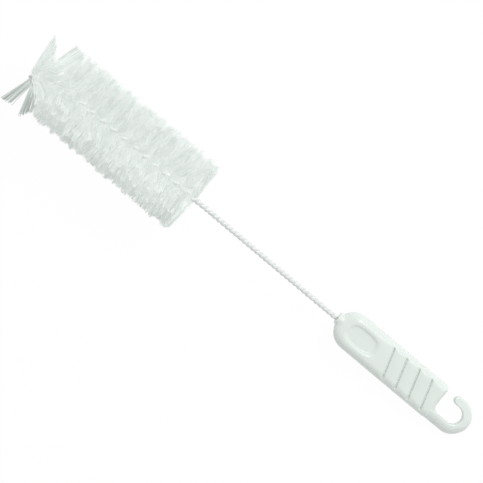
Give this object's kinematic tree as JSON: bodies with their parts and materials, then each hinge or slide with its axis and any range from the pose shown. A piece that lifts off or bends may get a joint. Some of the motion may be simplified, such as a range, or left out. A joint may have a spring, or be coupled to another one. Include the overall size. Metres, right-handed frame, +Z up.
{
  "type": "bottle brush",
  "caption": "Bottle brush with a cylindrical head of nylon bristles held in twisted coated wire, a splayed tip tuft, and a moulded grip that ends in an open hanging hook.",
  "frame": {"origin": "on the surface that the brush lies on, under the middle of its length and width", "axes": "+X along the brush from the tip of its head to its hook, +Z up; the open side of the hook faces +Y"},
  "size_m": [0.3586, 0.057, 0.0627],
  "materials": {
    "moulding": "glossy injection-moulded polypropylene, off-white with a faint green cast",
    "coated_wire": "smooth satin white plastic coating on twisted steel wire",
    "nylon": "fine translucent nylon filaments with a soft sheen"
  },
  "bodies": {
    "root": {"handle": "moulding", "twisted_wire": "coated_wire", "bristle_row_1": "nylon", "bristle_row_2": "nylon", "bristle_row_3": "nylon", "bristle_row_4": "nylon", "bristle_row_5": "nylon", "bristle_row_6": "nylon", "bristle_row_7": "nylon", "bristle_row_8": "nylon", "bristle_row_9": "nylon", "bristle_row_10": "nylon", "bristle_row_11": "nylon", "bristle_row_12": "nylon", "bristle_row_13": "nylon", "tip_tuft_upper_left": "nylon", "tip_tuft_upper_right": "nylon", "tip_tuft_lower_left": "nylon", "tip_tuft_lower_right": "nylon", "tip_tuft_front": "nylon", "tip_tuft_back": "nylon"}
  },
  "joints": []
}
